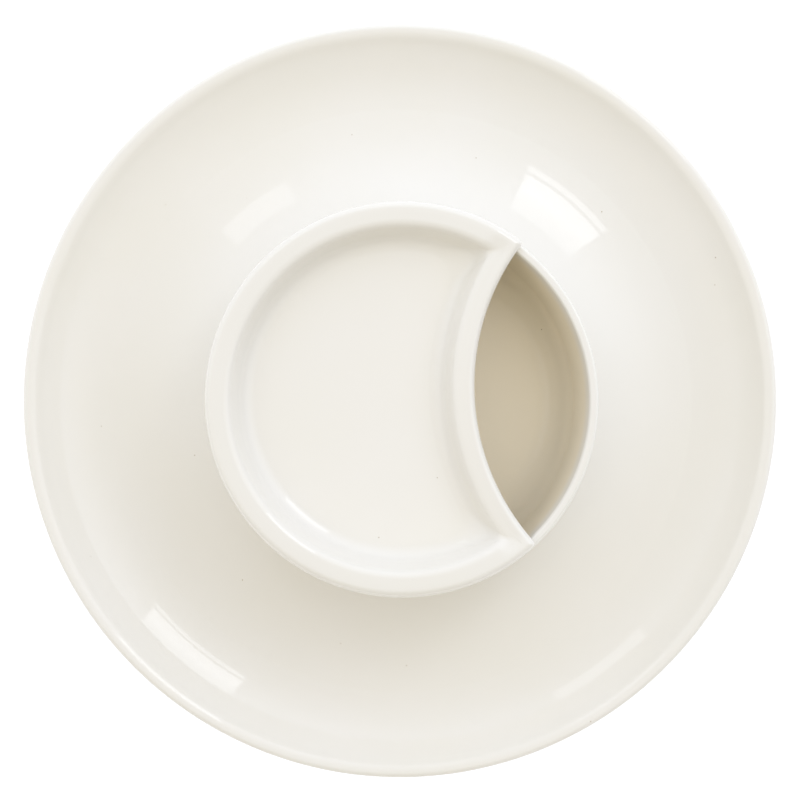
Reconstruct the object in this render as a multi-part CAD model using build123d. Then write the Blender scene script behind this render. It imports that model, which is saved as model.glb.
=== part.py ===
"""Three-piece porcelain chip and dip server.

A round chip plate with a raised hub, a dip bowl that stands in the seat on the hub, and a shallow
tray that hangs in the mouth of the bowl. One side of the tray is bitten away by an arc, which leaves
a lens-shaped way into the bowl. Nothing fastens the pieces: each one stands on the one below, centred
by its foot or by its body, and lifts straight off.

Frame: millimetres, +Z up. The origin is the centre of the plate's foot on the table. +X points from
the axis to the middle of the bite in the tray.
"""

import os
from math import radians, sin, sqrt, tan

from build123d import *

# ---- chip plate ----
PLATE_RADIUS = 160.0  # outside of the lip
PLATE_WALL = 5.0
LIP_HEIGHT = 21.8  # top of the lip
TROUGH_HEIGHT = 9.0  # upper surface at the lowest ring
HUB_HEIGHT = 24.0  # top of the hub
TROUGH_FLAT = 1.0  # level ring between the hub's sweep and the rim's sweep
HUB_SLOPE = 28.0  # degrees from level
RIM_SLOPE = 41.0  # degrees from level
HUB_SWEEP = 77.5  # radius of the hollow sweep at the foot of the hub, in mid-wall
RIM_SWEEP = 48.0  # radius of the hollow sweep below the rim, in mid-wall
HUB_SHOULDER = 19.5  # radius of the hub's shoulder, in mid-wall
PLATE_FOOT_WIDTH = 3.2  # sole of the ring below the middle of the trough

# ---- dip bowl ----
BOWL_RADIUS = 81.7  # outside of the rim
BOWL_WALL = 4.0
BOWL_HEIGHT = 45.8  # foot to rim
BOWL_DRAFT = 12.6  # degrees that the wall leans out from upright
BOWL_CORNER = 18.0  # radius between floor and wall, in mid-wall
BOWL_FOOT_INSET = 19.3  # from the wall's line at the floor in to the middle of the foot ring
BOWL_FOOT_WIDTH = 3.6
BOWL_FOOT_HEIGHT = 3.5
RIM_LAND = 0.25  # ground off the round rim, to give the tray a flat land

# ---- seat of the bowl in the hub ----
SEAT_DEPTH = 1.8
SEAT_CLEARANCE = 1.0
SEAT_ROUND = 0.8

# ---- crescent tray ----
FLANGE_OVERHANG = 0.5  # past the outside of the bowl's rim
TRAY_WALL = 4.5
TRAY_CLEARANCE = 1.3  # between the tray's body and the bowl's mouth
TRAY_DEPTH = 12.4  # top of the rim to the floor
TRAY_SLOPE = 65.0  # degrees from level
BITE_RIM_WIDTH = 5.2  # flat top of the flange along the bite
BITE_RADIUS = 97.3
FLANGE_THICKNESS = 4.0
TRAY_CORNER = 11.0  # radius between the tray's floor and its wall
TRAY_RIM_ROUND = 4.5  # radius between the wall and the top of the rim
FLANGE_TOP_ROUND = 1.8
FLANGE_UNDER_ROUND = 1.0
FLANGE_ROOT_ROUND = 1.2  # radius between the body and the underside of the flange
TIP_ROUND = 2.0  # radius of the two tips, in plan
TRAY_FOOT_INSET = 6.0  # in from where the underside turns level
TRAY_FOOT_WIDTH = 3.0
TRAY_FOOT_HEIGHT = 1.5
TRAY_FOOT_CORNER = 8.0  # radius of the two corners of the foot, in plan

# ---- shared by the three feet ----
FOOT_DRAFT = 14.0  # degrees on both sides of a foot ring
FOOT_EDGE_ROUND = 0.5
FOOT_ROOT_ROUND = 1.2

# ---- places that follow from the sizes above ----
SEAT_HEIGHT = HUB_HEIGHT - SEAT_DEPTH
BOWL_RIM_HEIGHT = SEAT_HEIGHT + BOWL_HEIGHT
BOWL_RIM_MIDDLE = BOWL_RADIUS - BOWL_WALL / 2
BOWL_BASE_RADIUS = BOWL_RIM_MIDDLE - tan(radians(BOWL_DRAFT)) * (
    BOWL_HEIGHT + RIM_LAND - BOWL_FOOT_HEIGHT - BOWL_WALL
)
BOWL_FOOT_RADIUS = BOWL_BASE_RADIUS - BOWL_FOOT_INSET
TRAY_RADIUS = BOWL_RADIUS + FLANGE_OVERHANG
TRAY_TOP = BOWL_RIM_HEIGHT + FLANGE_THICKNESS
TRAY_FLOOR = TRAY_TOP - TRAY_DEPTH
TRAY_UNDER = TRAY_FLOOR - TRAY_WALL
BITE_CENTRE = sqrt(TRAY_RADIUS**2 + BITE_RADIUS**2)  # the two arcs cross at right angles
SPARE = 20.0  # how far a cutting shape reaches past what it cuts


def lathe(section, centre_x=0.0):
    """Solid turned about the upright axis at (centre_x, 0) from a section in radius and height."""
    return Pos(centre_x, 0, 0) * revolve(Plane.XZ * section, Axis.Z)


def even_wall(middle_line, wall, reach):
    """Section of a wall of even thickness about its middle line, with a round free edge."""
    outline = Wire(middle_line.edges()).offset_2d(wall / 2, kind=Kind.ARC, side=Side.BOTH, closed=True)
    return make_face(outline.edges()) & Pos(reach, 0) * Rectangle(2 * reach, 4 * reach)


def with_foot(section, middle, width, bottom, top):
    """Section with a foot ring added: narrower at the table than at its root, every edge eased."""
    spread = (top - bottom) * tan(radians(FOOT_DRAFT))
    inner = middle - width / 2
    outer = middle + width / 2
    foot = Polyline(
        (inner, bottom), (outer, bottom), (outer + spread, top), (inner - spread, top), close=True
    )
    joined = section + make_face(foot.edges())
    for low, high, radius in ((-0.1, 0.1, FOOT_EDGE_ROUND), (1.0, top - bottom, FOOT_ROOT_ROUND)):
        near = joined.vertices().filter_by_position(Axis.X, inner - spread, outer + spread)
        joined = fillet(near.filter_by_position(Axis.Y, bottom + low, bottom + high), radius)
    return joined


def make_chip_plate():
    """Plate with a raised hub in the middle, a round trough for the chips, and a rising rim."""
    half = PLATE_WALL / 2
    hub = HUB_HEIGHT - half
    trough = TROUGH_HEIGHT - half
    lip = LIP_HEIGHT - half
    lip_middle = PLATE_RADIUS - half
    rim_side = lip_middle - (lip - trough) / tan(radians(RIM_SLOPE))
    trough_middle = rim_side - RIM_SWEEP * tan(radians(RIM_SLOPE / 2)) - TROUGH_FLAT / 2
    hub_side = trough_middle - TROUGH_FLAT / 2 - HUB_SWEEP * tan(radians(HUB_SLOPE / 2))
    hub_edge = hub_side - (hub - trough) / tan(radians(HUB_SLOPE))
    line = FilletPolyline(
        (-SPARE, hub),
        (hub_edge, hub),
        (hub_side, trough),
        (rim_side, trough),
        (lip_middle, lip),
        radius=[HUB_SHOULDER, HUB_SWEEP, RIM_SWEEP],
    )
    section = even_wall(line, PLATE_WALL, PLATE_RADIUS)
    section = with_foot(section, trough_middle, PLATE_FOOT_WIDTH, 0, trough)
    seat_radius = BOWL_FOOT_RADIUS + BOWL_FOOT_WIDTH / 2 + SEAT_CLEARANCE
    plate = lathe(section)
    plate -= Pos(0, 0, SEAT_HEIGHT + SPARE / 2) * Cylinder(seat_radius, SPARE)
    hub_top = plate.edges().filter_by_position(Axis.Z, HUB_HEIGHT - 0.01, HUB_HEIGHT + 0.01)
    return fillet(hub_top.sort_by(SortBy.LENGTH)[0], SEAT_ROUND)


def make_dip_bowl():
    """Round bowl with a round rim, its land ground flat for the tray, on a foot that fits the seat."""
    half = BOWL_WALL / 2
    floor = SEAT_HEIGHT + BOWL_FOOT_HEIGHT + half
    rim = BOWL_RIM_HEIGHT + RIM_LAND - half
    line = FilletPolyline(
        (-SPARE, floor), (BOWL_BASE_RADIUS, floor), (BOWL_RIM_MIDDLE, rim), radius=BOWL_CORNER
    )
    section = even_wall(line, BOWL_WALL, BOWL_RADIUS)
    section = with_foot(section, BOWL_FOOT_RADIUS, BOWL_FOOT_WIDTH, SEAT_HEIGHT, floor)
    size = 4 * BOWL_RADIUS
    return lathe(section & Pos(0, BOWL_RIM_HEIGHT - size / 2) * Rectangle(size, size))


def turned_dip(start, wall_top, floor, brim_round, corner):
    """What lies inside a round leaning wall and over its brim, turned about the bowl's axis."""
    run = (wall_top - floor) / tan(radians(TRAY_SLOPE))
    top = wall_top + SPARE
    far = start + 2 * SPARE
    line = FilletPolyline(
        (far, wall_top), (start, wall_top), (start - run, floor), (0, floor), radius=[brim_round, corner]
    )
    rest = Polyline((0, floor), (0, top), (far, top), (far, wall_top))
    return lathe(make_face(line.edges() + rest.edges()))


def turned_post(start, wall_top, floor, brim_round, corner):
    """Post about the bite's axis that spreads down to a level floor, with hollowed corners."""
    run = (wall_top - floor) / tan(radians(TRAY_SLOPE))
    bottom = floor - SPARE
    far = start + run + 2 * SPARE
    line = FilletPolyline(
        (0, wall_top), (start, wall_top), (start + run, floor), (far, floor), radius=[brim_round, corner]
    )
    rest = Polyline((far, floor), (far, bottom), (0, bottom), (0, wall_top))
    return lathe(make_face(line.edges() + rest.edges()), BITE_CENTRE)


def crescent(outer_radius, bite_radius, corner):
    """Crescent in plan: a disc with an arc bitten out of it, its two tips rounded."""
    shape = Circle(outer_radius) - Pos(BITE_CENTRE, 0) * Circle(bite_radius)
    tips = shape.vertices().filter_by(lambda vertex: abs(vertex.Y) > corner)
    return fillet(tips, corner)


def make_crescent_tray():
    """Shallow tray on a flange that rests on the bowl's rim, with one side bitten away."""
    lean = radians(TRAY_SLOPE)
    step = TRAY_WALL / sin(lean) - FLANGE_THICKNESS / tan(lean)
    corner = TRAY_CORNER + TRAY_WALL
    body_start = BOWL_RIM_MIDDLE - BOWL_WALL / 2 - TRAY_CLEARANCE
    bite_start = BITE_RADIUS + BITE_RIM_WIDTH + TRAY_RIM_ROUND * tan(lean / 2)
    hollow = turned_dip(body_start - step, TRAY_TOP, TRAY_FLOOR, TRAY_RIM_ROUND, TRAY_CORNER)
    hollow -= turned_post(bite_start, TRAY_TOP, TRAY_FLOOR, TRAY_RIM_ROUND, TRAY_CORNER)
    shell = turned_dip(body_start, BOWL_RIM_HEIGHT, TRAY_UNDER, FLANGE_ROOT_ROUND, corner)
    shell -= turned_post(bite_start - step, BOWL_RIM_HEIGHT, TRAY_UNDER, FLANGE_ROOT_ROUND, corner)

    plan = crescent(TRAY_RADIUS, BITE_RADIUS, TIP_ROUND)
    tray = Pos(0, 0, TRAY_UNDER - 1) * extrude(plan, TRAY_TOP - TRAY_UNDER + 2)
    tray = (tray & shell) - hollow
    edge_radii = (TRAY_RADIUS, BITE_RADIUS, TIP_ROUND)
    for height, ease in ((TRAY_TOP, FLANGE_TOP_ROUND), (BOWL_RIM_HEIGHT, FLANGE_UNDER_ROUND)):
        level = tray.edges().filter_by_position(Axis.Z, height - 0.01, height + 0.01)
        rim = [edge for edge in level if min(abs(edge.radius - radius) for radius in edge_radii) < 0.01]
        tray = fillet(rim, ease)

    drop = (BOWL_RIM_HEIGHT - TRAY_UNDER) / tan(lean) + corner * tan(lean / 2) + TRAY_FOOT_INSET
    foot = crescent(body_start - drop, bite_start - step + drop, TRAY_FOOT_CORNER)
    drop += TRAY_FOOT_WIDTH
    foot -= crescent(body_start - drop, bite_start - step + drop, TRAY_FOOT_CORNER - TRAY_FOOT_WIDTH)
    return tray + Pos(0, 0, TRAY_UNDER - TRAY_FOOT_HEIGHT) * extrude(foot, TRAY_FOOT_HEIGHT + 1)


if __name__ == "__main__":
    os.makedirs("parts", exist_ok=True)
    export_step(make_chip_plate(), "parts/chip_plate.step")
    export_step(make_dip_bowl(), "parts/dip_bowl.step")
    export_step(make_crescent_tray(), "parts/crescent_tray.step")
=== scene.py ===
from math import cos, pi, radians, sin, sqrt, tan

import bpy
import numpy as np
from mathutils import Matrix, Vector


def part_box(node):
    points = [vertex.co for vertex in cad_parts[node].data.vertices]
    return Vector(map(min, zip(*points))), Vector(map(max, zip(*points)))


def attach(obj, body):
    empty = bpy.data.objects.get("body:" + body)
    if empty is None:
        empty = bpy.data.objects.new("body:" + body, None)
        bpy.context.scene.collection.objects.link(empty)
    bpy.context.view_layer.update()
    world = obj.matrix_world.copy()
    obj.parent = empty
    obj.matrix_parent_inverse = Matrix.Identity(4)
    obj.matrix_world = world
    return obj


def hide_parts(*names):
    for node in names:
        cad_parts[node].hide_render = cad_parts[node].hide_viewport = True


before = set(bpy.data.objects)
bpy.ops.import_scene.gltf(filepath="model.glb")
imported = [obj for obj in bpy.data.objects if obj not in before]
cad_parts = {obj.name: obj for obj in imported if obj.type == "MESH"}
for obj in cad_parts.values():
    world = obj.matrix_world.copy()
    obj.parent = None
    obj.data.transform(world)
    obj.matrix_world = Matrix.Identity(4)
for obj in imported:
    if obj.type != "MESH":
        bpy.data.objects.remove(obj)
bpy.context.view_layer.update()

# ---- Chip plate -------------------------------------------------------------------------------
# The round plate under everything: a raised hub in the middle, a trough for the chips around it and
# a rim that rises to a round lip. Porcelain, pressed between a spinning mould and a roller, and
# glazed ivory all over except the sole of its foot ring, which is wiped bare to stand in the kiln.

MM = 0.001  # shapes are worked out in millimetres and put into their meshes in metres


def frame_size(metres):
    """A size or a height of the frame in millimetres, to the nearest tenth."""
    return round(metres / MM, 1)


def frame_radius(name):
    """Radius of a round CAD node about the upright axis: its furthest corner's distance from it."""
    corners = np.array([corner.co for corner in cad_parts[name].data.vertices])
    return frame_size(float(np.hypot(corners[:, 0], corners[:, 1]).max()))


PLATE_RADIUS = frame_radius("chip_plate")
HUB_HEIGHT = frame_size(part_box("chip_plate")[1].z)
SEAT_HEIGHT = frame_size(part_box("dip_bowl")[0].z)  # the bowl stands in it
PLATE_WALL = 5.0
LIP_HEIGHT = 21.8
TROUGH_HEIGHT = 9.0
TROUGH_FLAT = 1.0  # level ring between the hub's sweep and the rim's sweep
HUB_SLOPE = radians(28)
RIM_SLOPE = radians(41)
HUB_SHOULDER = 19.5  # this radius and the next two are in the middle of the wall
HUB_SWEEP = 77.5
RIM_SWEEP = 48.0
SEAT_RADIUS = 54.6
SEAT_ROOT_ROUND = 0.6
SEAT_ROUND = 0.8
SEAT_SURROUND = 58.0  # outside of the level ring that is worked out with the seat
LIP_SPONGED = 0.7  # taken off the top of the lip
LIP_ROLL = 6.0  # radii from the rim's slope over the lip to its underside
LIP_TOP_ROUND = 1.95
LIP_UNDER_ROUND = 1.5
LIP_ROOM = 3.0  # for the arc that starts the lip
PLATE_FOOT_WIDTH = 3.2
SINK_DEPTH = 0.1  # of the groove that the foot ring leaves in the trough
SINK_WIDTH = 1.6  # from its middle to where it is a third as deep
FOOT_DRAFT = radians(14)  # lean of both sides of a foot ring
FOOT_ROOT_ROUND = 1.2
FOOT_EDGE_ROUND = 0.5
FOOT_ROOM = 2.94  # for the arc at a foot ring's root


def rounded_run(corners, radii, step_deg=3.0, pitch=2.0):
    """Points and headings along straight runs whose inner corners are turned by circular arcs.

    At a corner with turn angle a, the arc of radius R starts R * tan(a / 2) before it and ends as far
    after it. Returns the points as an (n, 2) array and the heading angle at each. Points are about
    pitch apart on straight runs and about step_deg apart on arcs.
    """
    corners = np.asarray(corners, float)
    legs = np.diff(corners, axis=0)
    headings = np.unwrap(np.arctan2(legs[:, 1], legs[:, 0]))
    points, angles = [], []
    here = corners[0]
    for i, radius in enumerate(radii):
        h0, h1 = headings[i], headings[i + 1]
        reach = radius * tan(abs(h1 - h0) / 2)
        start = corners[i + 1] - reach * np.array([cos(h0), sin(h0)])
        count = max(2, int(np.hypot(*(start - here)) / pitch))
        t = np.linspace(0, 1, count, endpoint=False)[:, None]
        points.append(here + t * (start - here))
        angles.append(np.full(count, h0))
        side = np.sign(h1 - h0)
        centre = start + side * radius * np.array([-sin(h0), cos(h0)])
        turn = np.linspace(h0, h1, max(4, int(abs(h1 - h0) / radians(step_deg))) + 1)
        arc = centre + side * radius * np.column_stack([np.sin(turn), -np.cos(turn)])
        points.append(arc[:-1])
        angles.append(turn[:-1])
        here = arc[-1]
    count = max(2, int(np.hypot(*(corners[-1] - here)) / pitch))
    t = np.linspace(0, 1, count)[:, None]
    points.append(here + t * (corners[-1] - here))
    angles.append(np.full(count, headings[-1]))
    return np.vstack(points), np.concatenate(angles)


def beside(points, angles, distance):
    """Points moved to the left of their heading by a distance: the face of a wall of even thickness."""
    return points + distance * np.column_stack([-np.sin(angles), np.cos(angles)])


def with_foot(under, middle, width, sole):
    """Underside that runs in towards the axis, with a foot ring let into it.

    The ring is given by the radius of its middle, the width of its sole and the sole's height. Its
    sides lean by FOOT_DRAFT, and its root and edge are eased by arcs.
    """
    radius, height = under[:, 0], under[:, 1]
    inner, outer = middle - width / 2, middle + width / 2
    level = np.interp(middle, radius[::-1], height[::-1])
    spread = (level - sole) * tan(FOOT_DRAFT)
    before = under[radius > outer + spread + FOOT_ROOM]
    after = under[radius < inner - spread - FOOT_ROOM]
    outer_root = np.array([outer + spread, np.interp(outer + spread, radius[::-1], height[::-1])])
    inner_root = np.array([inner - spread, np.interp(inner - spread, radius[::-1], height[::-1])])
    corners = [before[-1], outer_root, (outer, sole), (inner, sole), inner_root, after[0]]
    radii = [FOOT_ROOT_ROUND, FOOT_EDGE_ROUND, FOOT_EDGE_ROUND, FOOT_ROOT_ROUND]
    ring, _ = rounded_run(corners, radii, step_deg=8, pitch=0.8)
    return np.vstack([before, ring[1:-1], after])


def ring_grid(name, rings, first, last):
    """Object with a closed smooth skin over a stack of rings, an (n, m, 3) array in millimetres.

    Each ring is joined to the next by four-sided faces. A fan of triangles to one point shuts the
    skin before the first ring, and another after the last.
    """
    count, around = rings.shape[:2]
    points = np.vstack([rings.reshape(-1, 3), first, last])
    row, column = np.meshgrid(np.arange(count - 1), np.arange(around), indexing="ij")
    beyond = (column + 1) % around
    a, b = row * around + column, row * around + beyond
    quads = np.stack([a, a + around, b + around, b], axis=-1).reshape(-1, 4)
    c = np.arange(around)
    d = (c + 1) % around
    first_fan = np.column_stack([c, d, np.full(around, count * around)])
    base = (count - 1) * around
    last_fan = np.column_stack([base + d, base + c, np.full(around, count * around + 1)])
    faces = quads.tolist() + first_fan.tolist() + last_fan.tolist()
    mesh = bpy.data.meshes.new(name)
    mesh.from_pydata((points * MM).tolist(), [], faces)
    mesh.polygons.foreach_set("use_smooth", np.ones(len(faces), dtype=bool))
    mesh.update()
    thing = bpy.data.objects.new(name, mesh)
    bpy.context.collection.objects.link(thing)
    return thing


def turned(name, profile, around, centre=(0.0, 0.0), pole=0.5):
    """Round skin: each profile point (radius, height) swept through a full circle about its centre.

    Points nearer the axis than pole give way to the fan that shuts the skin there.
    """
    profile = profile[profile[:, 0] > pole]
    theta = np.linspace(0, 2 * pi, around, endpoint=False)
    radius, height = profile[:, 0, None], profile[:, 1, None]
    x, y = centre[0] + radius * np.cos(theta), centre[1] + radius * np.sin(theta)
    rings = np.stack([x, y, height * np.ones_like(theta)], axis=-1)
    return ring_grid(name, rings, (*centre, profile[0, 1]), (*centre, profile[-1, 1]))


half = PLATE_WALL / 2
hub, trough, lip = HUB_HEIGHT - half, TROUGH_HEIGHT - half, LIP_HEIGHT - half
lip_middle = PLATE_RADIUS - half
rim_side = lip_middle - (lip - trough) / tan(RIM_SLOPE)
trough_middle = rim_side - RIM_SWEEP * tan(RIM_SLOPE / 2) - TROUGH_FLAT / 2
hub_side = trough_middle - TROUGH_FLAT / 2 - HUB_SWEEP * tan(HUB_SLOPE / 2)
hub_edge = hub_side - (hub - trough) / tan(HUB_SLOPE)
corners = [(0, hub), (hub_edge, hub), (hub_side, trough), (rim_side, trough), (lip_middle, lip)]
middle, heading = rounded_run(corners, [HUB_SHOULDER, HUB_SWEEP, RIM_SWEEP], step_deg=2.2)
upper, lower = beside(middle, heading, half), beside(middle, heading, -half)
seat_foot, seat_top = (SEAT_RADIUS, SEAT_HEIGHT), (SEAT_RADIUS, HUB_HEIGHT)
corners = [(0, SEAT_HEIGHT), seat_foot, seat_top, (SEAT_SURROUND, HUB_HEIGHT)]
seat, _ = rounded_run(corners, [SEAT_ROOT_ROUND, SEAT_ROUND], step_deg=12, pitch=4)
upper = np.vstack([seat, upper[upper[:, 0] > SEAT_SURROUND + 0.5]])
# The trough sinks a little over the foot ring, where the wall shrank in the kiln.
upper[:, 1] -= SINK_DEPTH * np.exp(-(((upper[:, 0] - trough_middle) / SINK_WIDTH) ** 2))
under = with_foot(lower[::-1], trough_middle, PLATE_FOOT_WIDTH, 0.0)
# The lip is sponged round before the glaze: the rim rolls level, then over and under.
lip_top = LIP_HEIGHT - LIP_SPONGED
roll = upper[-1, 0] - (upper[-1, 1] - lip_top) / tan(RIM_SLOPE)
outer_low = lower[-1, 1] + (PLATE_RADIUS - lower[-1, 0]) * tan(RIM_SLOPE)
upper = upper[upper[:, 0] < roll - LIP_ROOM]
corners = [upper[-1], (roll, lip_top), (PLATE_RADIUS, lip_top), (PLATE_RADIUS, outer_low), lower[-1]]
lip_edge, _ = rounded_run(corners, [LIP_ROLL, LIP_TOP_ROUND, LIP_UNDER_ROUND], step_deg=6, pitch=0.5)
plate = turned("plate_body", np.vstack([upper, lip_edge[1:-1], under]), around=384)
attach(plate, "plate")
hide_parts("chip_plate")

GLAZE = "F6F3EC"
THICK_GLAZE = "F4F1E7"
IRON_SPECK = "B9A98C"
BISCUIT = "EDE8DC"
GLAZE_ROUGHNESS = 0.03
BISCUIT_ROUGHNESS = 0.75
WIPED_HEIGHT = 0.2  # of the bare band round a sole
GLAZE_IOR = 1.5
CLOUD_SIZE = 45.0  # across the patches where the glaze lies thicker
SWELL_SIZE = 25.0  # from crest to crest
SWELL_HEIGHT = 0.06  # from hollow to crest
SPECK_SPACING = 14.3
SPECK_SHARE = 0.018  # a speck's radius as a share of the spacing: a quarter of a millimetre
FIRST, SECOND = 6, 7  # the inputs of a Mix node that take its two colours
MIXED = 2  # the output that gives their mix


def linear(hex_colour):
    """sRGB hex to linear red, green, blue and full alpha."""
    channels = [int(hex_colour[i : i + 2], 16) / 255 for i in (0, 2, 4)]
    return [c / 12.92 if c <= 0.04045 else ((c + 0.055) / 1.055) ** 2.4 for c in channels] + [1.0]


def node(tree, kind, inputs=None, **properties):
    """Adds a node, sets its properties and then its inputs, and returns it.

    An input is given by its name or number, and takes an output socket as a link or else a value.
    """
    made = tree.nodes.new(kind)
    for key, value in properties.items():
        setattr(made, key, value)
    for key, value in (inputs or {}).items():
        if isinstance(value, bpy.types.NodeSocket):
            tree.links.new(value, made.inputs[key])
        else:
            made.inputs[key].default_value = value
    return made


def per_metre(size):
    """How often a pattern of this size in millimetres repeats in a metre, to a whole number."""
    return round(1 / (size * MM))


def even_glaze(tree, place):
    """Colour of the ivory glaze: two close tints, in soft clouds where it lies thin or thick."""
    cloud = node(tree, "ShaderNodeTexNoise", {"Vector": place, "Scale": per_metre(CLOUD_SIZE), "Detail": 2})
    tints = {0: cloud.outputs["Fac"], FIRST: linear(GLAZE), SECOND: linear(THICK_GLAZE)}
    return node(tree, "ShaderNodeMix", tints, data_type="RGBA").outputs[MIXED]


def glazed_porcelain(name, sole, glaze=even_glaze):
    """Ivory lead-free glaze over white porcelain, fired glossy: a clear hard gloss over a warm body.

    The glaze flows a little as it melts, so its surface has long low swells. A few iron specks, about
    half a millimetre across, show through. Below the height called sole, in millimetres, the ware is
    bare biscuit: white, dry and slightly rough. The function called glaze gives the glaze's colour.
    """
    material = bpy.data.materials.new(name)
    material.use_nodes = True
    tree = material.node_tree
    tree.nodes.clear()
    place = node(tree, "ShaderNodeTexCoord").outputs["Object"]
    height = node(tree, "ShaderNodeSeparateXYZ", {0: place}).outputs["Z"]
    specks = {"Vector": place, "Scale": per_metre(SPECK_SPACING)}
    away = node(tree, "ShaderNodeTexVoronoi", specks).outputs["Distance"]
    speck = node(tree, "ShaderNodeMath", {0: away, 1: SPECK_SHARE}, operation="LESS_THAN")
    tints = {0: speck.outputs[0], FIRST: glaze(tree, place), SECOND: linear(IRON_SPECK)}
    specked = node(tree, "ShaderNodeMix", tints, data_type="RGBA")
    edge = (sole + WIPED_HEIGHT) * MM
    bare = node(tree, "ShaderNodeMath", {0: height, 1: edge}, operation="LESS_THAN")
    tints = {0: bare.outputs[0], FIRST: specked.outputs[MIXED], SECOND: linear(BISCUIT)}
    colour = node(tree, "ShaderNodeMix", tints, data_type="RGBA")
    finish = {"Value": bare.outputs[0], "To Min": GLAZE_ROUGHNESS, "To Max": BISCUIT_ROUGHNESS}
    roughness = node(tree, "ShaderNodeMapRange", finish)
    swells = {"Vector": place, "Scale": per_metre(SWELL_SIZE), "Detail": 1}
    swell = node(tree, "ShaderNodeTexNoise", swells)
    relief = {"Height": swell.outputs["Fac"], "Strength": 1, "Distance": SWELL_HEIGHT * MM}
    bump = node(tree, "ShaderNodeBump", relief)
    surface = {
        "Base Color": colour.outputs[MIXED],
        "Roughness": roughness.outputs[0],
        "Normal": bump.outputs[0],
        "IOR": GLAZE_IOR,
    }
    shader = node(tree, "ShaderNodeBsdfPrincipled", surface)
    node(tree, "ShaderNodeOutputMaterial", {"Surface": shader.outputs[0]})
    return material


plate.data.materials.append(glazed_porcelain("glazed porcelain, plate", sole=0))

# ---- Dip bowl ---------------------------------------------------------------------------------
# The round bowl for the dip. It stands loose in the shallow seat on the hub, on its own foot ring.
# Porcelain like the plate, glazed inside and out, its round rim ground flat on top for the tray.

BOWL_RADIUS = frame_radius("dip_bowl")
BOWL_RIM_HEIGHT = frame_size(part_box("dip_bowl")[1].z)
BOWL_WALL = 4.0
BOWL_DRAFT = radians(12.6)  # the wall's lean from upright
BOWL_CORNER = 18.0  # radius between floor and wall, in the middle of the wall
BOWL_FOOT_HEIGHT = 3.5
BOWL_FOOT_WIDTH = 3.6
BOWL_FOOT_INSET = 19.3  # from the foot of the wall in to the middle of the ring
RIM_LAND = 0.25  # ground off the rim
BOWL_ASIDE = (0.85, -0.3)  # it was set down by hand, a little off the middle of its seat
# Painted shade: a warm tint for the light bounced round inside the bowl, laid on its deep inner walls.
HOLLOW_SHADE_TINT = "FBF1DA"
SHADE_START = 0.75  # below the rim
SHADE_FULL = 10.75
SHADE_LIFT = 50.0  # raises the line towards the axis, so that level faces count too
SHADE_EDGE = 10.0  # that line's length along a face's normal, where the face counts in full


def round_end(points, angles, half):
    """Half circle round the last point, from the wall's left face to its right face."""
    swing = angles[-1] + np.linspace(pi / 2, -pi / 2, 25)[1:-1]
    return points[-1] + half * np.column_stack([np.cos(swing), np.sin(swing)])


half = BOWL_WALL / 2
bowl_floor = SEAT_HEIGHT + BOWL_FOOT_HEIGHT + half
rim = (BOWL_RADIUS - half, BOWL_RIM_HEIGHT + RIM_LAND - half)
base = rim[0] - tan(BOWL_DRAFT) * (rim[1] - bowl_floor)
corners = [(0, bowl_floor), (base, bowl_floor), rim]
middle, heading = rounded_run(corners, [BOWL_CORNER], step_deg=1.5, pitch=1.5)
inside, outside = beside(middle, heading, half), beside(middle, heading, -half)
outside = with_foot(outside[::-1], base - BOWL_FOOT_INSET, BOWL_FOOT_WIDTH, SEAT_HEIGHT)
profile = np.vstack([inside, round_end(middle, heading, half), outside])
profile[:, 1] = np.minimum(profile[:, 1], BOWL_RIM_HEIGHT)
bowl = turned("bowl_body", profile, around=352, centre=BOWL_ASIDE)
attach(bowl, "bowl")
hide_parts("dip_bowl")


def painted_hollow_shade(tree, place):
    """Colour of the glaze with painted shade in a deep hollow: a warmer tint for the light bounced between
    its walls.

    It turns warm from SHADE_START to SHADE_FULL below the rim, and only in the hollow: on faces whose
    normal has a part along the line to the axis, once that line is raised by SHADE_LIFT.
    """
    height = node(tree, "ShaderNodeSeparateXYZ", {0: place}).outputs["Z"]
    start, full = (BOWL_RIM_HEIGHT - SHADE_START) * MM, (BOWL_RIM_HEIGHT - SHADE_FULL) * MM
    depths = {"Value": height, "From Min": start, "From Max": full}
    run = node(tree, "ShaderNodeMapRange", depths, interpolation_type="SMOOTHSTEP")
    inward = {0: place, 1: (-1, -1, 0), 2: (0, 0, SHADE_LIFT * MM)}
    line = node(tree, "ShaderNodeVectorMath", inward, operation="MULTIPLY_ADD")
    facing = {0: line.outputs[0], 1: node(tree, "ShaderNodeTexCoord").outputs["Normal"]}
    seen = node(tree, "ShaderNodeVectorMath", facing, operation="DOT_PRODUCT")
    in_hollow = node(tree, "ShaderNodeMapRange", {"Value": seen.outputs["Value"], "From Max": SHADE_EDGE * MM})
    factors = {0: run.outputs[0], 1: in_hollow.outputs[0]}
    share = node(tree, "ShaderNodeMath", factors, operation="MULTIPLY")
    tints = {0: share.outputs[0], FIRST: even_glaze(tree, place), SECOND: linear(HOLLOW_SHADE_TINT)}
    return node(tree, "ShaderNodeMix", tints, data_type="RGBA").outputs[MIXED]


# The bowl's glaze carries painted shade inside: it turns warm down the walls of its hollow.
bowl.data.materials.append(glazed_porcelain("glazed porcelain, bowl", SEAT_HEIGHT, painted_hollow_shade))

# ---- Crescent tray ----------------------------------------------------------------------------
# The shallow second dish. Its flange lies on the bowl's rim and its body hangs inside the mouth. One
# side is bitten away by an arc, so that a chip can reach the dip below. Porcelain, cast in a plaster
# mould, glazed ivory, with a low bare foot under the floor.

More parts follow.
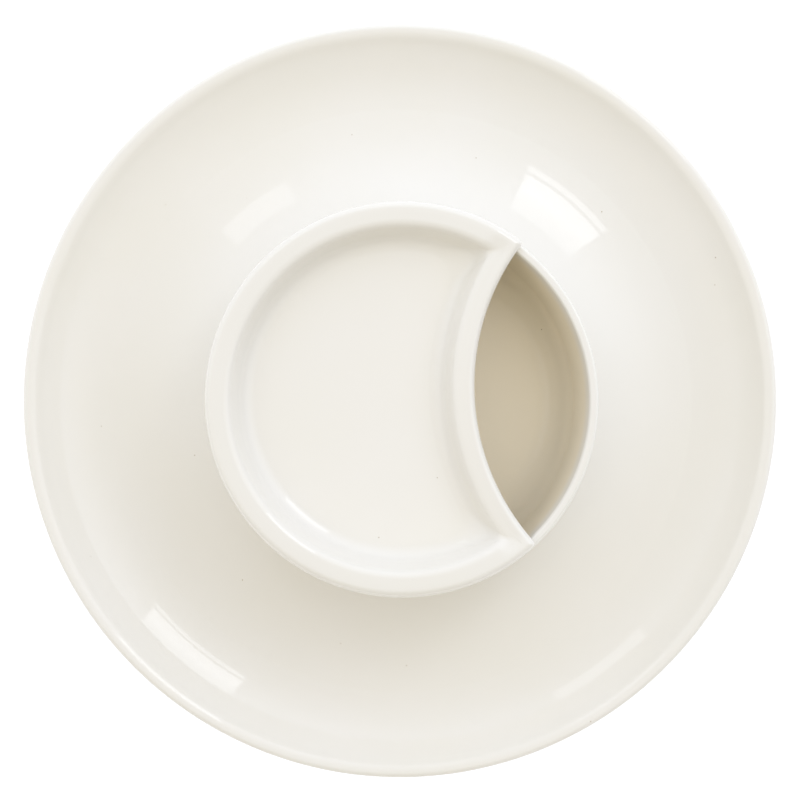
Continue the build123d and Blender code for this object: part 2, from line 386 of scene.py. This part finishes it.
TRAY_RADIUS = frame_radius("crescent_tray")
TRAY_TOP = frame_size(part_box("crescent_tray")[1].z)
FLANGE_THICKNESS = TRAY_TOP - BOWL_RIM_HEIGHT
TRAY_WALL = 4.5
OUTER_WALL_EXTRA = 1.2  # added to the wall away from the bite, measured level
TRAY_DEPTH = 12.4
TRAY_SLOPE = radians(65)
TRAY_CLEARANCE = 1.3  # between the tray's body and the bowl's mouth
BITE_RADIUS = 97.3
BITE_CENTRE = sqrt(TRAY_RADIUS**2 + BITE_RADIUS**2)
BITE_RIM_WIDTH = 5.2
TRAY_RIM_ROUND = 4.5  # from the hollow's wall onto the flange
HOLLOW_CORNER = 8.0  # between the hollow's floor and its wall
BODY_CORNER = 15.5  # the same corner on the outside
FLANGE_TOP_ROUND = 2.6
FLANGE_UNDER_ROUND = 1.0
FLANGE_ROOT_ROUND = 1.2  # between the flange and the body
TIP_ROUND = 2.0  # radius of the two tips, seen from above
TIP_LEAST = 0.2  # what is left of it further in
CROWN = 0.35  # fall of the flange's top towards its edge
CROWN_WIDTH = 4.6
BITE_SINK = 1.1
TRAY_FOOT_HEIGHT = 1.5
TRAY_FOOT_WIDTH = 3.0
TRAY_FOOT_INSET = 6.0  # in from where the underside turns level
TRAY_FOOT_CORNER = 8.0  # radius of its two corners, seen from above
TRAY_FOOT_ROOT_ROUND = 0.6
TRAY_FOOT_EDGE_ROUND = 0.4
FLOOR_RUN, TOP_RUN = 7.3, 3.2  # level stretches before and after the hollow's arcs
EDGE_RUN = 2.0  # the same under the flange's edge
ROOT_RUN, UNDER_RUN = 1.5, 10.4  # the same before and after the body's arcs
FOOT_OUTER_RUN, FOOT_INNER_RUN = 1.6, 2.0  # the same before and after the foot's arcs
BITE_POINTS, TIP_POINTS, BACK_POINTS = 130, 30, 250  # of each ring
TRAY_ASIDE = np.array([1.05, 0.75, 0.0])  # set down by hand, a little off the middle of the bowl


def crescent_rings(outer, bite, corner, height):
    """Level rings, each a disc's outline with an arc bitten out and its two tips turned by a radius.

    A tip's centre lies (outer - corner) from the axis and (bite + corner) from the bite's centre. Its
    arc runs from the line to the bite's centre round to the line from the axis. All four inputs are
    arrays with one value a ring; the result is (rings, points, 3), anticlockwise.
    """
    outer, bite, corner, height = (np.asarray(v, float)[:, None] for v in (outer, bite, corner, height))
    near, far = outer - corner, bite + corner
    x = (near**2 - far**2 + BITE_CENTRE**2) / (2 * BITE_CENTRE)
    y = np.sqrt(near**2 - x**2)
    disc_angle = np.arctan2(y, x)
    bite_angle = np.arctan2(y, BITE_CENTRE - x)
    front = bite_angle * np.linspace(-1, 1, BITE_POINTS)[None, :]
    turn = -bite_angle + (disc_angle + bite_angle) * np.linspace(0, 1, TIP_POINTS)[None, 1:-1]
    back = disc_angle + (2 * pi - 2 * disc_angle) * np.linspace(0, 1, BACK_POINTS)[None, :]
    tip_x, tip_y = x + corner * np.cos(turn), y + corner * np.sin(turn)
    along = (BITE_CENTRE - bite * np.cos(front), tip_x, outer * np.cos(back), tip_x[:, ::-1])
    across = (bite * np.sin(front), tip_y, outer * np.sin(back), -tip_y[:, ::-1])
    ring_x = np.concatenate(along, axis=1)
    return np.stack([ring_x, np.concatenate(across, axis=1), height + 0 * ring_x], axis=-1)


def ease(value, start, end):
    """0 before start, 1 after end, and a smooth S between them."""
    t = np.clip((value - start) / (end - start), 0, 1)
    return t * t * (3 - 2 * t)


def shrunk(ring, centre, shares):
    """Level copies of a ring drawn in towards a point inside it, to each share of its size."""
    middle = np.array([centre[0], centre[1], ring[0, 2]])
    return middle + shares[:, None, None] * (ring - middle)


top, seat_level = TRAY_TOP, BOWL_RIM_HEIGHT
floor = top - TRAY_DEPTH
under = floor - TRAY_WALL
body_start = BOWL_RADIUS - BOWL_WALL - TRAY_CLEARANCE
step = TRAY_WALL / sin(TRAY_SLOPE) - FLANGE_THICKNESS / tan(TRAY_SLOPE)
hollow_start = body_start - step - OUTER_WALL_EXTRA
bite_start = BITE_RADIUS + BITE_RIM_WIDTH + TRAY_RIM_ROUND * tan(TRAY_SLOPE / 2)

# Hollow: floor, corner, leaning wall, and the round-over onto the flange. Seen from above, its two
# corners open from 1.2 mm at the flange to 4.2 mm at 5 mm down and 10.2 mm at the floor.
run = TRAY_DEPTH / tan(TRAY_SLOPE)
corners = [(-run - FLOOR_RUN, floor), (-run, floor), (0, top), (TOP_RUN, top)]
shape, _ = rounded_run(corners, [HOLLOW_CORNER, TRAY_RIM_ROUND], step_deg=2.5, pitch=1.2)
inset, height = shape[:, 0], shape[:, 1]
depth = top - height
tips = 1.2 + 3.0 * ease(depth, 0.5, 5) + 6.0 * ease(depth, 5, TRAY_DEPTH)
hollow = crescent_rings(hollow_start + inset, bite_start - inset, tips, height)

# Edge of the flange, from its top round to its underside, as insets from the crescent's outline. Its
# top falls by CROWN * (1 - inset / CROWN_WIDTH) ** 2 towards the edge, and its underside stays level.
corners = [(CROWN_WIDTH, top), (0, top), (0, seat_level), (EDGE_RUN, seat_level)]
shape, _ = rounded_run(corners, [FLANGE_TOP_ROUND, FLANGE_UNDER_ROUND], step_deg=6, pitch=0.5)
inset, height = shape[:, 0], shape[:, 1]
height -= CROWN * (1 - inset / CROWN_WIDTH) ** 2 * (height - seat_level) / FLANGE_THICKNESS
tips = np.maximum(TIP_ROUND - inset, TIP_LEAST)
edge = crescent_rings(TRAY_RADIUS - inset, BITE_RADIUS + inset, tips, height)

# Along the bite the flange is not level: its top sinks from 1 to 6.5 mm away from the edge, and comes
# back from 8 to 14 mm. It stays level within 2 mm of the round rim and sinks in full past 9 mm.
for skin in (hollow, edge):
    from_bite = np.hypot(skin[..., 0] - BITE_CENTRE, skin[..., 1]) - BITE_RADIUS
    from_rim = TRAY_RADIUS - np.hypot(skin[..., 0], skin[..., 1])
    sunk = ease(from_bite, 1, 6.5) * (1 - ease(from_bite, 8, 14)) * ease(from_rim, 2, 9)
    skin[..., 2] -= BITE_SINK * sunk * ease(skin[..., 2], seat_level, top)

# Body under the flange, with the same lean as the hollow. Its two corners open from 5 to 13.5 mm.
run = (seat_level - under) / tan(TRAY_SLOPE)
corners = [(ROOT_RUN, seat_level), (0, seat_level), (-run, under), (-run - UNDER_RUN, under)]
shape, _ = rounded_run(corners, [FLANGE_ROOT_ROUND, BODY_CORNER], step_deg=3, pitch=1.2)
inset, height = shape[:, 0], shape[:, 1]
depth = seat_level - height
tips = 5.0 + 2.5 * ease(depth, 0, 5) + 6.0 * ease(depth, 4, seat_level - under)
body = crescent_rings(body_start + inset, bite_start - step - inset, tips, height)

# Foot: a low crescent-shaped ring under the floor, with upright sides.
drop = run + BODY_CORNER * tan(TRAY_SLOPE / 2) + TRAY_FOOT_INSET
sole = under - TRAY_FOOT_HEIGHT
width = TRAY_FOOT_WIDTH
outer_side = [(-FOOT_OUTER_RUN, under), (0, under), (0, sole)]
inner_side = [(width, sole), (width, under), (width + FOOT_INNER_RUN, under)]
rounds = [TRAY_FOOT_ROOT_ROUND, TRAY_FOOT_EDGE_ROUND, TRAY_FOOT_EDGE_ROUND, TRAY_FOOT_ROOT_ROUND]
shape, _ = rounded_run(outer_side + inner_side, rounds, step_deg=15, pitch=0.7)
inset, height = shape[:, 0], shape[:, 1]
tips = TRAY_FOOT_CORNER - np.clip(inset, 0, 4)
foot = crescent_rings(body_start - drop - inset, bite_start - step + drop + inset, tips, height)

centre = (-20.0, 0.0)  # a point that every ring goes round
shares = np.linspace(0.04, 1, 16)[:-1]
upper, lower = shrunk(hollow[0], centre, shares), shrunk(foot[-1], centre, shares[::-1])
rings = np.concatenate([upper, hollow, edge, body, foot, lower]) + TRAY_ASIDE
tray = ring_grid("tray_body", rings, TRAY_ASIDE + (*centre, floor), TRAY_ASIDE + (*centre, under))
tray.data.materials.append(glazed_porcelain("glazed porcelain, tray", sole))
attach(tray, "tray")
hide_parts("crescent_tray")

# ---- Studio -----------------------------------------------------------------------------------
# A white paper sweep under the ware, two softboxes that leave their panes in the glaze, and the soft
# light of the windows and pale walls all round. The camera looks straight down. Sizes are in metres.

DAYLIGHT = "EEF3FF"
BOUNCE = "FFF4DB"  # daylight off the pale walls
PAPER = "F3F3F3"
PAPER_GLOW = 0.42  # light that the lit paper gives back
ROLL = 2.5  # degrees that the camera is turned about its line of sight
SOFTBOX_DISTANCE = 2.4
bpy.context.scene.view_settings.view_transform = "Standard"

sweep_mesh = bpy.data.meshes.new("sweep")
sweep_mesh.from_pydata([(-6, -6, 0), (6, -6, 0), (6, 6, 0), (-6, 6, 0)], [], [(0, 1, 2, 3)])
sweep = bpy.data.objects.new("sweep", sweep_mesh)
bpy.context.collection.objects.link(sweep)
# Uncoated white paper, matt and even, so that it takes soft shadows and mirrors nothing.
paper = bpy.data.materials.new("white paper sweep")
paper.use_nodes = True
paper_shader = paper.node_tree.nodes["Principled BSDF"]
paper_shader.inputs["Base Color"].default_value = linear(PAPER)
paper_shader.inputs["Roughness"].default_value = 0.9
paper_shader.inputs["Specular IOR Level"].default_value = 0.0
paper_shader.inputs["Emission Color"].default_value = linear(DAYLIGHT)
paper_shader.inputs["Emission Strength"].default_value = PAPER_GLOW
sweep_mesh.materials.append(paper)


def softbox(name, azimuth, zenith, near_width, far_width, length, power, bars):
    """Light behind a white cloth, aimed at the ware: angles in degrees, sizes in metres, power in watts.

    The cloth is a trapezium, narrow at the end nearer the ware. Its brightness is given by bars along
    its length, each a pair (share of the length, brightness), joined by straight ramps.
    """
    light = bpy.data.lights.new(name, "AREA")
    light.shape = "RECTANGLE"
    light.size, light.size_y = far_width, length
    light.energy = power
    light.color = linear(DAYLIGHT)[:3]
    light.use_nodes = True
    tree = light.node_tree
    tree.nodes.clear()
    place = node(tree, "ShaderNodeNewGeometry").outputs["Parametric"]
    part = node(tree, "ShaderNodeSeparateXYZ", {0: place})
    away = node(tree, "ShaderNodeMath", {0: 1.0, 1: part.outputs["Y"]}, operation="SUBTRACT").outputs[0]
    along = node(tree, "ShaderNodeFloatCurve", {"Value": away})
    line = along.mapping.curves[0]
    line.points[0].location, line.points[-1].location = bars[0], bars[-1]
    for bar in bars[1:-1]:
        line.points.new(*bar)
    for point in line.points:
        point.handle_type = "VECTOR"
    along.mapping.update()
    off = node(tree, "ShaderNodeMath", {0: part.outputs["X"], 1: 0.5}, operation="SUBTRACT")
    side = node(tree, "ShaderNodeMath", {0: off.outputs[0]}, operation="ABSOLUTE")
    widths = {"Value": away, "To Min": 0.5 * near_width / far_width, "To Max": 0.5}
    reach = node(tree, "ShaderNodeMapRange", widths)
    cloth = node(tree, "ShaderNodeMath", {0: side.outputs[0], 1: reach.outputs[0]}, operation="LESS_THAN")
    lit = node(tree, "ShaderNodeMath", {0: cloth.outputs[0], 1: along.outputs[0]}, operation="MULTIPLY")
    glow = node(tree, "ShaderNodeEmission", {"Strength": lit.outputs[0]})
    node(tree, "ShaderNodeOutputLight", {"Surface": glow.outputs[0]})
    thing = bpy.data.objects.new(name, light)
    bpy.context.collection.objects.link(thing)
    a, z = radians(azimuth), radians(zenith)
    way = Vector((sin(z) * cos(a), sin(z) * sin(a), cos(z)))
    # Its long side lies along the line of slope, away from the ware.
    across = Vector((-sin(a), cos(a), 0))
    slope = way.cross(across)
    axes = Matrix((across, slope, way)).transposed().to_4x4()
    thing.matrix_world = Matrix.Translation(way * SOFTBOX_DISTANCE) @ axes


# Their azimuths are taken from the camera's right-hand side. The near one has a dark bar, its frame.
NEAR_BARS = [(0, 0.7), (0.12, 0.9), (0.13, 0.1), (0.19, 0.1), (0.2, 1), (0.5, 1), (0.7, 0.6), (1, 0.3)]
softbox(
    "softbox, near", azimuth=50.3 - ROLL, zenith=34.3,
    near_width=0.31, far_width=0.66, length=1.32, power=8.0, bars=NEAR_BARS,
)
softbox(
    "softbox, far", azimuth=127 - ROLL, zenith=40.2,
    near_width=0.45, far_width=0.58, length=0.61, power=1.4, bars=[(0, 1), (1, 0.8)],
)

# The windows and the walls of the studio, as soft lobes of light, each a zenith angle, an azimuth and a
# brightness. A lobe's light is brightness * exp(LOBE_FALL * (cos(angle from its middle) - 1)), which
# falls to half at 24 degrees from its middle.
LOBE_FALL = 8.0
WINDOWS = [
    (30, 20, 0.30), (55, 0, 0.79), (55, 40, 0.88), (55, 80, 0.78), (55, 120, 0.35), (55, 160, 0.63),
    (55, 200, 0.34), (55, 320, 0.37), (78, 54, 0.28), (78, 90, 0.29), (78, 126, 0.56), (78, 162, 0.48),
]
WALLS = [
    (30, 20, 0.34), (30, 200, 0.41), (30, 320, 0.23), (55, 200, 0.32), (55, 240, 0.42), (55, 280, 0.36),
]
world = bpy.data.worlds.new("studio windows and walls")
world.use_nodes = True
sky = world.node_tree
sky.nodes.clear()
way = node(sky, "ShaderNodeTexCoord").outputs["Generated"]
glows = []
for tint, lobes in ((DAYLIGHT, WINDOWS), (BOUNCE, WALLS)):
    light_sum = 0.0
    for zenith, azimuth, brightness in lobes:
        z, a = radians(zenith), radians(azimuth)
        lobe_way = (sin(z) * cos(a), sin(z) * sin(a), cos(z))
        toward = node(sky, "ShaderNodeVectorMath", {0: way, 1: lobe_way}, operation="DOT_PRODUCT")
        fall = {0: toward.outputs["Value"], 1: LOBE_FALL, 2: -LOBE_FALL}
        power = node(sky, "ShaderNodeMath", fall, operation="MULTIPLY_ADD")
        lobe = node(sky, "ShaderNodeMath", {0: power.outputs[0]}, operation="EXPONENT")
        terms = {0: lobe.outputs[0], 1: brightness, 2: light_sum}
        light_sum = node(sky, "ShaderNodeMath", terms, operation="MULTIPLY_ADD").outputs[0]
    glow = node(sky, "ShaderNodeBackground", {"Strength": light_sum, "Color": linear(tint)})
    glows.append(glow.outputs[0])
both = node(sky, "ShaderNodeAddShader", dict(enumerate(glows)))
node(sky, "ShaderNodeOutputWorld", {"Surface": both.outputs[0]})
bpy.context.scene.world = world

CAMERA_PLACE = (0.0, 0.00034, 2.295)
VIEW_WIDTH = 0.34  # that the picture spans, VIEW_DISTANCE below the camera
VIEW_DISTANCE = 2.276
lens = bpy.data.cameras.new("camera")
lens.sensor_width = 36.0
lens.lens = lens.sensor_width * VIEW_DISTANCE / VIEW_WIDTH
lens.clip_end = 50.0
camera = bpy.data.objects.new("camera", lens)
bpy.context.collection.objects.link(camera)
camera.location = CAMERA_PLACE
camera.rotation_euler = (0, 0, radians(-ROLL))
bpy.context.scene.camera = camera

bpy.context.view_layer.update()
